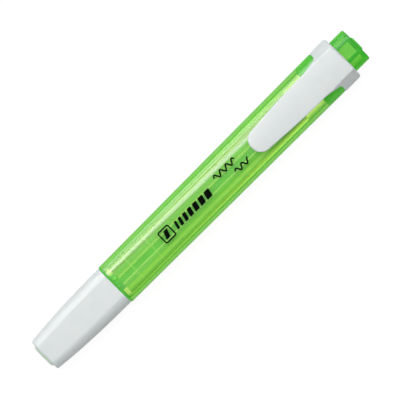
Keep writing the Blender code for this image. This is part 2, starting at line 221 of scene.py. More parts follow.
def loft(name, stations, material, closed=False, flat_share=FLAT_SHARE):
    """An object through ovals at (x, half width, half height) stations."""
    rings = []
    for x, half_width, half_height in stations:
        rings.append(at_station(x, oval(half_width, half_height, flat_share=flat_share)))
    obj = finish_mesh(name, skin(rings, closed), material)
    even_shading(obj)
    return obj


def grown(half, gap):
    """A (half width, half height) grown by a gap all round, or shrunk by a negative one."""
    return half[0] + gap, half[1] + gap


def spaced(start, end, count):
    """Evenly spaced values, with both ends among them."""
    return [start + (end - start) * i / (count - 1) for i in range(count)]


def smooth_step(t):
    """Eases from 0 to 1, and stays there outside that range."""
    t = min(1.0, max(0.0, t))
    return t * t * (3 - 2 * t)


# ---------------------------------------------------------------- materials


def new_material(name):
    material = bpy.data.materials.new(name)
    material.use_nodes = True
    tree = material.node_tree
    tree.nodes.clear()
    output = tree.nodes.new("ShaderNodeOutputMaterial")
    return material, tree, output


def feed(tree, socket, value):
    """Links a socket to another node's, or sets it to a plain value."""
    if isinstance(value, bpy.types.NodeSocket):
        tree.links.new(value, socket)
    else:
        socket.default_value = value


def shader_node(tree, kind, **inputs):
    """A node with its inputs set by name, with underscores for spaces."""
    node = tree.nodes.new(kind)
    for name, value in inputs.items():
        feed(tree, node.inputs[name.replace("_", " ")], value)
    return node


def surface(tree, output, **inputs):
    """Makes a principled shader the material's surface."""
    shader = shader_node(tree, "ShaderNodeBsdfPrincipled", **inputs)
    tree.links.new(shader.outputs[0], output.inputs["Surface"])


def blended(tree, factor, first, second):
    """One shader into another by a factor."""
    node = tree.nodes.new("ShaderNodeMixShader")
    for socket, value in zip(node.inputs, (factor, first.outputs[0], second.outputs[0])):
        feed(tree, socket, value)
    return node


def maths(tree, operation, first, second=0.0, third=0.0):
    node = tree.nodes.new("ShaderNodeMath")
    node.operation = operation
    for socket, value in zip(node.inputs, (first, second, third)):
        feed(tree, socket, value)
    return node.outputs[0]


def mixed(tree, factor, first, second):
    """One colour into another by a factor."""
    node = tree.nodes.new("ShaderNodeMix")
    node.data_type = "RGBA"
    colours = [socket for socket in node.inputs if socket.type == "RGBA"]
    for socket, value in zip((node.inputs["Factor"], *colours), (factor, first, second)):
        feed(tree, socket, value)
    return next(socket for socket in node.outputs if socket.type == "RGBA")


def place(tree):
    """The point's (x, y, z) sockets in the pen's own frame, and the same as one vector."""
    coordinates = tree.nodes.new("ShaderNodeTexCoord")
    split = tree.nodes.new("ShaderNodeSeparateXYZ")
    tree.links.new(coordinates.outputs["Object"], split.inputs[0])
    return split.outputs, coordinates.outputs["Object"]


def grain(tree, vector, scale, detail=3.0, stretch=(1.0, 1.0, 1.0), roughness=0.5):
    """Noise of a scale in cycles per metre, stretched along an axis by a smaller number."""
    mapping = tree.nodes.new("ShaderNodeMapping")
    mapping.inputs["Scale"].default_value = stretch
    tree.links.new(vector, mapping.inputs["Vector"])
    noise = shader_node(tree, "ShaderNodeTexNoise", Scale=scale, Detail=detail, Roughness=roughness)
    tree.links.new(mapping.outputs[0], noise.inputs["Vector"])
    return noise.outputs["Fac"]


def ranged(tree, value, low, high, to_low, to_high):
    """A value that goes from low to high, made to go from to_low to to_high, and no further."""
    node = shader_node(
        tree,
        "ShaderNodeMapRange",
        Value=value,
        From_Min=low,
        From_Max=high,
        To_Min=to_low,
        To_Max=to_high,
    )
    return node.outputs["Result"]


def bumped(tree, height, distance):
    node = shader_node(tree, "ShaderNodeBump", Strength=1.0, Distance=distance, Height=height)
    return node.outputs[0]


def make_white_plastic():
    """Satin white polypropylene: a faint bluish mottle and a fine moulded grain."""
    material, tree, output = new_material("white_plastic")
    _, point = place(tree)
    mottle = grain(tree, point, 260.0, detail=4.0)
    colour = mixed(
        tree,
        ranged(tree, mottle, 0.35, 0.65, 0.0, 1.0),
        (0.735, 0.79, 0.79, 1.0),
        (0.765, 0.81, 0.80, 1.0),
    )
    fine = grain(tree, point, 900.0, detail=1.0)
    shine = ranged(tree, grain(tree, point, 700.0), 0.3, 0.7, 0.36, 0.46)
    surface(
        tree,
        output,
        Base_Color=colour,
        Roughness=shine,
        IOR=1.49,
        Normal=bumped(tree, fine, 0.003 * MM),
    )
    return material


def make_green_shell(name, colours, milk, tint, density, shine, thin=None):
    """Clear green plastic, a little milky, that deepens with its thickness.

    It is milkier where it is seen edge-on, and outside its thin part, from one X to another. The
    milky part glows: a little as fluorescent plastic does in daylight, and more as painted light
    that lifts its shaded sides.
    """
    material, tree, output = new_material(name)
    (x, _, _), point = place(tree)
    drawn = grain(tree, point, 260.0, detail=1.0, stretch=(0.1, 1.0, 1.0))
    cloud = grain(tree, point, 350.0, detail=2.0)
    clear = shader_node(tree, "ShaderNodeBsdfTransparent", Color=(0.93, 0.985, 0.72, 1.0))
    body = shader_node(
        tree,
        "ShaderNodeBsdfPrincipled",
        Base_Color=mixed(tree, cloud, *colours),
        Emission_Color=colours[1],
        # Painted light: this glow lifts the plastic where it lies in shade; only a little of it is
        # fluorescence.
        Emission_Strength=0.34,
        Roughness=0.4,
        Specular_IOR_Level=0.0,
    )
    facing = tree.nodes.new("ShaderNodeLayerWeight")
    facing.inputs["Blend"].default_value = 0.5
    haze = ranged(tree, cloud, 0.3, 0.7, 0.85 * milk, 1.15 * milk)
    if thin:
        soft = 0.1 * MM
        ahead = ranged(tree, x, thin[0] + soft, thin[0] - soft, 0.0, 0.7)
        behind = ranged(tree, x, thin[1] - soft, thin[1] + soft, 0.0, 0.5)
        haze = maths(tree, "ADD", maths(tree, "ADD", haze, ahead), behind)
    steep = maths(tree, "POWER", facing.outputs["Facing"], 1.7)
    haze = maths(tree, "MULTIPLY_ADD", steep, 0.85, haze)
    share, roughness = shine
    gloss = shader_node(
        tree,
        "ShaderNodeBsdfGlossy",
        Color=(1.0, 1.0, 1.0, 1.0),
        Roughness=ranged(tree, drawn, 0.3, 0.7, roughness - 0.03, roughness + 0.03),
        Normal=bumped(tree, drawn, 0.001 * MM),
    )
    grazing = maths(tree, "POWER", facing.outputs["Facing"], 5.0)
    glossy_share = maths(tree, "MULTIPLY_ADD", grazing, 0.3, share)
    whole = blended(tree, glossy_share, blended(tree, haze, clear, body), gloss)
    tree.links.new(whole.outputs[0], output.inputs["Surface"])
    volume = shader_node(tree, "ShaderNodeVolumeAbsorption", Color=tint, Density=density)
    tree.links.new(volume.outputs[0], output.inputs["Volume"])
    return material


def make_green_moulding(name, low, high, glow):
    """Milky green plastic: strong for the nib holder, pale for the cap's liner."""
    material, tree, output = new_material(name)
    _, point = place(tree)
    mottle = grain(tree, point, 420.0, detail=3.0)
    colour = mixed(tree, mottle, low, high)
    surface(
        tree,
        output,
        Base_Color=colour,
        Emission_Color=colour,
        # Painted light: the glow lifts the plastic as if lit, though it is no lamp; strong on the
        # nib holder in the barrel's shade, faint on the liner.
        Emission_Strength=glow,
        Roughness=ranged(tree, mottle, 0.3, 0.7, 0.24, 0.34),
        IOR=1.49,
        Normal=bumped(tree, grain(tree, point, 900.0, detail=1.0), 0.004 * MM),
    )
    return material


def make_film():
    """Film round the ink: bands where the barrel's ribs press on it, and fine lengthwise streaks.

    It glows a little, as fluorescent ink does in daylight, and more where light is painted on it.
    """
    material, tree, output = new_material("clear_film")
    (x, y, z), point = place(tree)
    streaks = grain(tree, point, 900.0, detail=2.0, stretch=(0.012, 1.0, 1.0))

    def strip(middle, half_width, soft):
        """1 within a strip along the pen, falling to 0 outside it, all in millimetres."""
        away = maths(tree, "ABSOLUTE", maths(tree, "SUBTRACT", y, middle * MM))
        return ranged(tree, away, (half_width + soft) * MM, half_width * MM, 0.0, 1.0)

    colour = mixed(
        tree,
        ranged(tree, streaks, 0.35, 0.65, 0.0, 1.0),
        (0.50, 0.86, 0.28, 1.0),
        (0.72, 0.92, 0.42, 1.0),
    )
    # Darker bands along the film. The one at +4.1 mm is painted shade under the line of light down
    # the barrel, and the one at +1.9 mm carries that shade on more faintly; the others only darken
    # strips of the film.
    green = (0.23, 0.67, 0.11, 1.0)
    shaded = (0.26, 0.42, 0.09, 1.0)
    for middle, half_width, soft, share, tone in (
        (4.1, 1.3, 0.4, 0.8, shaded),
        (1.9, 0.8, 0.3, 0.8, green),
        (-2.6, 0.55, 0.3, 0.9, green),
        (-4.7, 0.1, 0.25, 0.5, green),
    ):
        weight = maths(tree, "MULTIPLY", strip(middle, half_width, soft), share)
        colour = mixed(tree, weight, colour, tone)
    pressed_y = RIB_Y / MM
    colour = mixed(tree, strip(pressed_y, 1.15, 0.1), colour, (0.22, 0.70, 0.08, 1.0))
    # Painted highlights down both edges of the pressed band, where the ribs' edges would catch the
    # light; they also glow a little.
    painted_rib_glints = 0.0
    for side, half_width in ((-1, 0.15), (1, 0.2)):
        edge = strip(pressed_y + side * RIB_HALF_WIDTH / MM, half_width, 0.12)
        painted_rib_glints = maths(tree, "ADD", edge, painted_rib_glints)
    colour = mixed(tree, painted_rib_glints, colour, (1.0, 1.0, 0.75, 1.0))
    # Painted light: a pale band down the film's -Y side, growing and glowing more towards the rear,
    # that lifts the side where it lies in shade.
    further = ranged(tree, x, -30 * MM, 35 * MM, 0.0, 1.0)
    painted_light_side = maths(tree, "MULTIPLY", strip(-6.3, 1.1, 0.4), further)
    colour = mixed(tree, painted_light_side, colour, (1.0, 0.98, 0.5, 1.0))
    # Painted light: pale strips down both of the film's steep sides, which glow, a little more
    # towards the rear, to lift them out of shade.
    edges = maths(tree, "MULTIPLY_ADD", strip(6.4, 0.5, 0.3), 0.4, strip(-6.5, 0.7, 0.3))
    colour = mixed(tree, edges, colour, (0.8, 0.95, 0.42, 1.0))
    brighter = maths(tree, "MULTIPLY_ADD", further, 0.1, 0.5)
    glow = maths(tree, "MULTIPLY_ADD", painted_light_side, 0.12, 0.04)
    glow = maths(tree, "MULTIPLY_ADD", edges, brighter, glow)
    glow = maths(tree, "MULTIPLY_ADD", painted_rib_glints, 0.15, glow)
    # Rings where the film was crimped.
    for ring_x in (-29.2, -20.6):
        away = maths(tree, "ABSOLUTE", maths(tree, "SUBTRACT", x, ring_x * MM))
        ring = ranged(tree, away, 0.35 * MM, 0.1 * MM, 0.0, 0.3)
        colour = mixed(tree, ring, colour, (1.0, 1.0, 0.7, 1.0))
    surface(
        tree,
        output,
        Base_Color=colour,
        Emission_Color=colour,
        Emission_Strength=glow,
        Roughness=ranged(tree, streaks, 0.3, 0.7, 0.3, 0.45),
        IOR=1.45,
        Normal=bumped(tree, streaks, 0.004 * MM),
    )
    return material


def make_felt(name, pale, deep, fibre_scale, glow):
    """Bonded fibre soaked in ink: strands along the pen, darker where they are packed."""
    material, tree, output = new_material(name)
    _, point = place(tree)
    strands = grain(tree, point, fibre_scale, detail=5.0, stretch=(0.15, 1.0, 1.0), roughness=0.7)
    pores = grain(tree, point, fibre_scale * 2.5, detail=3.0)
    colour = mixed(tree, ranged(tree, strands, 0.3, 0.7, 0.0, 1.0), deep, pale)
    height = maths(tree, "MULTIPLY_ADD", pores, 0.5, strands)
    surface(
        tree,
        output,
        Base_Color=colour,
        Roughness=ranged(tree, pores, 0.3, 0.7, 0.62, 0.85),
        Sheen_Weight=0.15,
        # A glow beside the ink's own fluorescence: on the fibre core it is mostly painted light
        # that lifts its shaded sides; on the nib it is faint.
        Emission_Color=colour,
        Emission_Strength=glow,
        Normal=bumped(tree, height, 0.08 * MM),
    )
    return material


def make_print():
    """Screen-printed black ink, slightly uneven in its gloss."""
    material, tree, output = new_material("print_ink")
    _, point = place(tree)
    patches = grain(tree, point, 2200.0, detail=4.0)
    colour = mixed(tree, patches, (0.001, 0.003, 0.001, 1.0), (0.003, 0.006, 0.003, 1.0))
    surface(
        tree,
        output,
        Base_Color=colour,
        Roughness=ranged(tree, patches, 0.3, 0.7, 0.25, 0.35),
        Specular_IOR_Level=0.01,
        Normal=bumped(tree, patches, 0.004 * MM),
    )
    return material


def make_floor_material():
    """White table that mostly glows to the camera, so that a shadow shows only faintly on it."""
    material, tree, output = new_material("white_table")
    _, point = place(tree)
    mottle = grain(tree, point, 40.0)
    shade = mixed(tree, mottle, (0.78, 0.78, 0.78, 1.0), (0.80, 0.80, 0.80, 1.0))
    card = shader_node(tree, "ShaderNodeBsdfDiffuse", Color=shade)
    glow = shader_node(tree, "ShaderNodeEmission", Color=(1.0, 1.0, 1.0, 1.0), Strength=1.06)
    path = tree.nodes.new("ShaderNodeLightPath")
    share = maths(tree, "MULTIPLY", path.outputs["Is Camera Ray"], 0.88)
    lit = blended(tree, share, card, glow)
    tree.links.new(lit.outputs[0], output.inputs["Surface"])
    return material


WHITE = make_white_plastic()
SHELL = make_green_shell(
    "green_clear",
    ((0.05, 0.42, 0.02, 1.0), (0.08, 0.50, 0.03, 1.0)),
    milk=0.05,
    tint=(0.53, 0.88, 0.26, 1.0),
    density=300.0,
    shine=(0.038, 0.27),
    thin=THIN_SHELL,
)
PLUG_SHELL = make_green_shell(
    "green_plug",
    ((0.07, 0.49, 0.04, 1.0), (0.10, 0.56, 0.05, 1.0)),
    milk=0.2,
    tint=(0.22, 0.82, 0.15, 1.0),
    density=700.0,
    shine=(0.015, 0.30),
)
MOULDING = make_green_moulding(
    "green_moulding",
    low=(0.08, 0.54, 0.04, 1.0),
    high=(0.12, 0.62, 0.06, 1.0),
    glow=0.25,
)
LINER_PLASTIC = make_green_moulding(
    "pale_moulding",
    low=(0.62, 0.76, 0.60, 1.0),
    high=(0.68, 0.82, 0.66, 1.0),
    glow=0.04,
)
FILM = make_film()
NIB_FELT = make_felt(
    "nib_felt",
    pale=(0.62, 0.95, 0.16, 1.0),
    deep=(0.38, 0.80, 0.05, 1.0),
    fibre_scale=2600.0,
    glow=0.04,
)
CORE_FIBRE = make_felt(
    "ink_fibre",
    pale=(0.66, 0.95, 0.28, 1.0),
    deep=(0.40, 0.78, 0.10, 1.0),
    fibre_scale=3400.0,
    glow=0.18,
)
PRINT = make_print()


# ---------------------------------------------------------------- barrel and what is in it


def along_barrel(x):
    """0 at the shoulder and 1 at the collar."""
    return (x - SHOULDER_X) / (COLLAR_FRONT_X - SHOULDER_X)


def barrel_half_width(x):
    widening = BARREL_REAR_HALF_WIDTH - BARREL_FRONT_HALF_WIDTH
    return BARREL_FRONT_HALF_WIDTH + along_barrel(x) * widening


def barrel_flat_share(x):
    at_front, at_rear = BARREL_FLAT_SHARE
    return max(at_rear, at_front - BARREL_FLAT_FALL * max(0.0, along_barrel(x)))


def bore_half(x):
    """The bore's half width and half height."""
    return barrel_half_width(x) - BARREL_WALL, BORE_HALF_HEIGHT


def make_barrel():
    """Body, shoulder, beaded neck and rear spigot, with ribs down the inside front and back."""
    bead_x = SHOULDER_X - 3.4 * MM
    bead = grown(NECK_HALF, 0.08 * MM)
    outside = [
        (SPIGOT_END_X, *SPIGOT_HALF, 0.2 * MM),
        (COLLAR_FRONT_X, *SPIGOT_HALF, 0.1 * MM),
        (COLLAR_FRONT_X, barrel_half_width(COLLAR_FRONT_X), BARREL_HALF_HEIGHT, 0.4 * MM),
        (SHOULDER_X, BARREL_FRONT_HALF_WIDTH, BARREL_HALF_HEIGHT, 0.6 * MM),
        (SHOULDER_X, *NECK_HALF, 0.1 * MM),
        (bead_x + 0.5 * MM, *NECK_HALF, 0.2 * MM),
        (bead_x, *bead, 0.3 * MM),
        (bead_x - 0.5 * MM, *NECK_HALF, 0.2 * MM),
        (NECK_END_X, *NECK_HALF, 0.3 * MM),
        (NECK_END_X, *NECK_BORE_HALF, 0.1 * MM),
        (CAVITY_X, *NECK_BORE_HALF, 0.15 * MM),
    ]
    inside = [
        (CAVITY_X, *bore_half(CAVITY_X), 0.9 * MM),
        (RIB_END_X, *bore_half(RIB_END_X), 0.0),
        (RIB_END_X + 0.1 * MM, *bore_half(RIB_END_X), 0.0),
        (SPIGOT_END_X, *bore_half(SPIGOT_END_X), 0.1 * MM),
    ]
    rib_level = FILM_HALF[1] + 0.1 * MM
    rings = []
    for x, half_width, half_height in rounded(outside + inside, closed=True, steps=6):
        is_inside = half_height <= BORE_HALF_HEIGHT + 0.001 * MM
        if is_inside and CAVITY_X - 0.3 * MM < x <= RIB_END_X:
            ring = oval(half_width, half_height, rib_level, BORE_FLAT_SHARE)
        else:
            ring = oval(half_width, half_height, None, barrel_flat_share(x))
        rings.append(at_station(x, ring))
    barrel = finish_mesh("clear_barrel", skin(rings, closed=True), SHELL)
    even_shading(barrel)
    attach(barrel, "pen")
    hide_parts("barrel")


def make_reservoir():
    """The fibre core and the film round it, both a little wider at the rear."""
    rear_core = (CORE_HALF[0] + REAR_SPREAD, CORE_HALF[1])
    film_stations = rounded(
        [
            (CORE_FRONT_X, *FILM_HALF, 0.1 * MM),
            (CORE_REAR_X, FILM_HALF[0] + REAR_SPREAD, FILM_HALF[1], 0.1 * MM),
            (CORE_REAR_X, *grown(rear_core, 0.06 * MM), 0.03 * MM),
            (CORE_FRONT_X, *grown(CORE_HALF, 0.06 * MM), 0.03 * MM),
        ],
        closed=True,
        steps=3,
    )
    film = loft(
        "ink_film", film_stations, FILM, closed=True, flat_share=PACKED_FLAT_SHARE
    )
    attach(film, "pen")
    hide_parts("reservoir_film")

    socket = grown(NIB_HALF, 0.1 * MM)
    core_stations = rounded(
        [
            (CORE_REAR_X, 0.2 * MM, 0.1 * MM, 0.0),
            (CORE_REAR_X, *rear_core, 0.35 * MM),
            (CORE_FRONT_X, *CORE_HALF, 0.35 * MM),
            (CORE_FRONT_X, *socket, 0.1 * MM),
            (NIB_TAIL_X + 0.3 * MM, *socket, 0.1 * MM),
            (NIB_TAIL_X + 0.3 * MM, 0.2 * MM, 0.1 * MM, 0.0),
        ],
        steps=4,
    )
    core = loft(
        "fibre_core", core_stations, CORE_FIBRE, flat_share=PACKED_FLAT_SHARE
    )
    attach(core, "pen")
    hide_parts("ink_reservoir")


# ---------------------------------------------------------------- nib


def make_nib_holder():
    flange = grown(NECK_HALF, -0.1 * MM)
    root = grown(NECK_BORE_HALF, -0.1 * MM)
    channel = grown(NIB_HALF, 0.1 * MM)
    flange_rear_x = NECK_END_X - 0.3 * MM
    flange_front_x = flange_rear_x - 0.9 * MM
    base_half = (4.3 * MM, 2.42 * MM)
    tip_half = (3.1 * MM, 2.3 * MM)
    tube_end_x = CORE_FRONT_X - 0.1 * MM
    tube = grown(NIB_HALF, 0.7 * MM)
    stations = rounded(
        [
            (tube_end_x, *tube, 0.2 * MM),
            (HOLDER_ROOT_X, *tube, 0.1 * MM),
            (HOLDER_ROOT_X, *root, 0.25 * MM),
            (flange_rear_x, *root, 0.1 * MM),
            (flange_rear_x, *flange, 0.25 * MM),
            (flange_front_x, *flange, 0.3 * MM),
            (flange_front_x, *base_half, 0.4 * MM),
            (HOLDER_TIP_X, *tip_half, 0.5 * MM),
            (HOLDER_TIP_X, *channel, 0.2 * MM),
            (tube_end_x, *channel, 0.1 * MM),
        ],
        closed=True,
    )
    holder = loft("nib_socket", stations, MOULDING, closed=True)
    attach(holder, "pen")
    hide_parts("nib_holder")


def make_nib():
    """Felt block with a pointed tail and a slanted chisel edge, softened by use."""
    slant = 2.2 * MM  # how far one end of the edge lies behind the other
    wedge_x = NIB_TIP_X + 3.3 * MM
    corners = [
        (NIB_TAIL_X, 0.4 * MM, 0.3 * MM, 0.0),
        (NIB_TAIL_X, NIB_HALF[0] * 0.45, NIB_HALF[1] * 0.45, 0.3 * MM),
        (NIB_TAIL_X - 2.2 * MM, *NIB_HALF, 0.8 * MM),
        (wedge_x, *NIB_HALF, 0.8 * MM),
        (NIB_TIP_X, NIB_HALF[0] * 0.97, 0.5 * MM, 0.35 * MM),
        (NIB_TIP_X, 0.8 * MM, 0.12 * MM, 0.0),
    ]
    rings = []
    for x, half_width, half_height in rounded(corners, steps=6):
        near_tip = smooth_step((HOLDER_TIP_X - x) / (HOLDER_TIP_X - NIB_TIP_X))
        ring = []
        for y, z in oval(half_width, half_height):
            lean = near_tip * slant * (NIB_HALF[0] - y) / (2 * NIB_HALF[0])
            ring.append((x + lean, y, z))
        rings.append(ring)
    nib = finish_mesh("felt_nib", skin(rings), NIB_FELT)
    even_shading(nib)
    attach(nib, "pen")
    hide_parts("nib")


# ---------------------------------------------------------------- cap


def cap_outside(x):
    """The cap's half width and half height, which both fall ever faster towards its end."""
    along = max(0.0, (CAP_MOUTH_X - x) / CAP_LENGTH)
    width_loss = 1.39 * MM * along**2.4
    height_loss = 0.8 * MM * along**2
    return CAP_MOUTH_HALF[0] - width_loss, CAP_MOUTH_HALF[1] - height_loss


def make_cap():
    """White sleeve, open at its mouth, with a hole in its end for the liner's button."""
    hole = (4.2 * MM, 2.3 * MM)
    inner_end_x = CAP_END_X + CAP_WALL
    rim_x = SHOULDER_X - 0.05 * MM
    corners = [(rim_x, *cap_outside(CAP_MOUTH_X), 0.25 * MM)]
    corners += [(x, *cap_outside(x), 0.0) for x in spaced(CAP_MOUTH_X, CAP_END_X, 24)[1:-1]]
    corners.append((CAP_END_X, *cap_outside(CAP_END_X), 0.55 * MM))
    corners.append((CAP_END_X, *hole, 0.15 * MM))
    corners.append((inner_end_x, *hole, 0.1 * MM))
    inside = [(x, *grown(cap_outside(x), -CAP_WALL), 0.0) for x in spaced(inner_end_x, rim_x, 14)]
    corners += [(*inside[0][:3], 0.3 * MM), *inside[1:-1], (*inside[-1][:3], 0.25 * MM)]
    cap = loft(
        "cap_sleeve",
        rounded(corners, closed=True),
        WHITE,
        closed=True,
        flat_share=CAP_FLAT_SHARE,
    )
    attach(cap, "cap")
    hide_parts("cap_shell")


def make_liner():
    """Cup over the nib, with a flange at its mouth and a button through the cap's end."""
    button = (4.1 * MM, 2.2 * MM)
    mouth = (4.42 * MM, 2.54 * MM)
    end = (3.9 * MM, 2.3 * MM)
    wall = 0.65 * MM
    step_x = CAP_END_X + 1.3 * MM
    flange_end_x = LINER_MOUTH_X - 1.0 * MM
    flange = grown(cap_outside(LINER_MOUTH_X), -CAP_WALL - 0.2 * MM)
    flange_end = grown(cap_outside(flange_end_x), -CAP_WALL - 0.2 * MM)
    stations = rounded(
        [
            (BUTTON_X, 0.4 * MM, 0.2 * MM, 0.0),
            (BUTTON_X + 0.05 * MM, button[0] * 0.8, button[1] * 0.75, 0.8 * MM),
            (BUTTON_X + 0.3 * MM, button[0] * 0.97, button[1] * 0.94, 0.3 * MM),
            (CAP_END_X - 0.1 * MM, *button, 0.2 * MM),
            (step_x, *button, 0.1 * MM),
            (step_x, *grown(end, wall), 0.3 * MM),
            (flange_end_x, *grown(mouth, wall), 0.2 * MM),
            (flange_end_x, *flange_end, 0.2 * MM),
            (LINER_MOUTH_X, *flange, 0.2 * MM),
            (LINER_MOUTH_X, *mouth, 0.25 * MM),
            (step_x + wall, *end, 0.5 * MM),
            (step_x + wall, 0.4 * MM, 0.2 * MM, 0.0),
        ]
    )
    liner = loft("cap_liner", stations, LINER_PLASTIC)
    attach(liner, "cap")
    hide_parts("inner_cap")


# ---------------------------------------------------------------- end plug


def make_plug():
    """Skirt inside the barrel, and a post with three cells that show through its wall."""
    wall = 0.9 * MM
    skirt_front = grown(bore_half(SKIRT_FRONT_X), -0.1 * MM)
    skirt_rear = grown(bore_half(SPIGOT_END_X), -0.1 * MM)
    step_x = SPIGOT_END_X - 1.2 * MM
    pad = (2.4 * MM, 1.9 * MM)
    stations = rounded(
        [
            (PAD_END_X, 0.3 * MM, 0.3 * MM, 0.0),
            (PAD_END_X, *pad, 0.2 * MM),
            (PLUG_END_X, *grown(pad, 0.15 * MM), 0.15 * MM),
            (PLUG_END_X, *POST_HALF, 0.5 * MM),
            (SPIGOT_END_X, *POST_HALF, 0.1 * MM),
            (SPIGOT_END_X, *skirt_rear, 0.2 * MM),
            (SKIRT_FRONT_X, *skirt_front, 0.25 * MM),
            (SKIRT_FRONT_X, *grown(skirt_front, -wall), 0.2 * MM),
            (step_x, *grown(skirt_rear, -wall), 0.4 * MM),
            (step_x, 0.3 * MM, 0.3 * MM, 0.0),
        ]
    )
    rings = [at_station(x, oval(half, height)) for x, half, height in stations]
    plug = finish_mesh("clear_plug", skin(rings), PLUG_SHELL)

    # The cells are one hollow with two ribs left standing in it.
    cell_end_x = PLUG_END_X - 1.3 * MM
    inside = oval(*grown(POST_HALF, -wall))
    cells = finish_mesh("cells", skin([at_station(x, inside) for x in (step_x - MM, cell_end_x)]))
    cutters = [cells]
    rib_size = (20 * MM, 1.15 * MM, 12 * MM)
    for side in (-1, 1):
        rib_y = (0.35 + side * 2.65) * MM
        bm = bmesh.new()
        bmesh.ops.create_cube(bm, size=1.0)
        bmesh.ops.scale(bm, vec=rib_size, verts=bm.verts)
        bmesh.ops.translate(bm, vec=(step_x + 10.4 * MM, rib_y, AXIS_Z), verts=bm.verts)
        rib = finish_mesh("cell_rib", bm)
        cut = cells.modifiers.new("rib", "BOOLEAN")
        cut.operation = "DIFFERENCE"
        cut.object = rib
        cutters.append(rib)
    soft = cells.modifiers.new("soft", "BEVEL")
    soft.width = 0.25 * MM
    soft.segments = 3
    soft.limit_method = "ANGLE"
    soft.angle_limit = math.radians(50)
    hollow = plug.modifiers.new("cells", "BOOLEAN")
    hollow.operation = "DIFFERENCE"
    hollow.object = cells
    bpy.context.view_layer.update()
    bake_modifiers(plug)
    for cutter in cutters:
        bpy.data.objects.remove(cutter)
    even_shading(plug)
    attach(plug, "pen")
    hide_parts("end_plug")


# ---------------------------------------------------------------- clip

PLATEAU = 4.9 * MM  # half width of the collar's front face
CLIP_THICKNESS = 1.3 * MM
TIP_LENGTH = 3.9 * MM  # of the clip's rounded tip
TIP_HALF_WIDTH = 3.9 * MM
TIP_POWER = 2.1  # 2 would make the tip's outline an ellipse
TIP_END_X = CLIP_TIP_X + TIP_LENGTH
ROOT_LENGTH = 6.6 * MM  # where the blade widens and thickens into the collar
ROOT_X = COLLAR_FRONT_X - ROOT_LENGTH
PAD_X = (CLIP_TIP_X + 1.0 * MM, CLIP_TIP_X + 5.0 * MM)  # the pad under the clip's tip
PAD_HALF_WIDTH = 1.7 * MM
PAD_DEPTH = 0.68 * MM
NOSE_LENGTH = 0.6 * MM  # where the front face rounds down to the very tip
NOSE_DROP = 0.42 * MM
FILLET_LENGTH = 0.8 * MM  # between the blade's underside and the collar
FILLET_HEIGHT = 1.1 * MM
BACK_EDGE = 0.3 * MM  # height of the rounded edge between the blade's sides and its back
DRAFT = 0.04 * MM  # how much narrower the blade is at its front than at its back, on each side
ROOT_BOTTOM_Z = AXIS_Z + BARREL_HALF_HEIGHT + 0.35 * MM
CROWN = 0.12 * MM  # how far the clip's front face swells in the middle
EDGE = 0.3 * MM  # radius of the clip's edges
ROW = 21  # points across the clip's front, and across its back


def facet_foot():
    """Where a line from the edge of the collar's front face touches the oval round the barrel."""
    start = Vector((PLATEAU, CLIP_TOP_Z))
    best = None
    for y, z in oval(COLLAR_HALF_WIDTH, BARREL_HALF_HEIGHT):
        if y <= PLATEAU or z < AXIS_Z - 2 * MM:
            continue
        angle = math.atan2(y - start.x, start.y - z)
        if best is None or angle > best[0]:
            best = (angle, y, z)
    return best[1], best[2]


FOOT = facet_foot()
FACET_SLOPE = (FOOT[0] - PLATEAU) / (CLIP_TOP_Z - FOOT[1])


def corner_arc(before, corner, after, radius, count):
    """Points round a corner of a section, from the side towards before to that towards after."""
    corner = Vector(corner)
    ends = []
    for other in (before, after):
        arm = Vector(other) - corner
        ends.append(corner + arm * min(1.0, radius / max(arm.length, 1e-9)))
    points = []
    for step in range(count):
        t = step / (count - 1)
        point = ends[0] * (1 - t) ** 2 + corner * (2 * t * (1 - t)) + ends[1] * t**2
        points.append(tuple(point))
    return points


def front_row(half_top, half_bottom, top_z, low_z, radius):
    """(y, z) across the clip's front, from its left side edge over to its right one."""
    start = (-half_bottom, low_z)
    crease = (-half_top, top_z)
    arc = corner_arc(start, crease, (0.0, top_z), radius, 5)
    side = tuple((a + b) / 2 for a, b in zip(start, arc[0]))
    edge_y = -arc[-1][0]
    left = [start, side, *arc]
    middle = [
        (y, top_z + CROWN * (1 - (y / edge_y) ** 2)) for y in spaced(-edge_y, edge_y, 9)[1:-1]
    ]
    return left + middle + [(-y, z) for y, z in reversed(left)]


def back_row(half_bottom, low_z, bottom_z, radius, sag, inset):
    """(y, z) across the clip's back, with a pad that stands out by sag in the middle."""
    start = (-half_bottom, low_z)
    arc = corner_arc(start, (inset - half_bottom, bottom_z), (0.0, bottom_z), radius, 5)
    arc[0] = start
    middle = []
    for y in spaced(arc[-1][0], -arc[-1][0], 13)[1:-1]:
        reach = 1.0 - smooth_step((abs(y) - PAD_HALF_WIDTH) / (0.9 * MM))
        middle.append((y, bottom_z - sag * reach))
    return arc + middle + [(-y, z) for y, z in reversed(arc)]


def clip_half_width(x):
    """Half the clip's outline: its round tip, its long blade and its flare into the collar."""
    if x < TIP_END_X:
        along = min(1.0, (TIP_END_X - x) / TIP_LENGTH)
        return TIP_HALF_WIDTH * (1 - along**TIP_POWER) ** (1 / TIP_POWER)
    if x < ROOT_X:
        along = (x - TIP_END_X) / (ROOT_X - TIP_END_X)
        return TIP_HALF_WIDTH + math.sin(along * math.pi / 2) * (PLATEAU - TIP_HALF_WIDTH)
    flare = 0.5 * MM
    along = (x - ROOT_X) / ROOT_LENGTH
    return PLATEAU + along**1.6 * flare


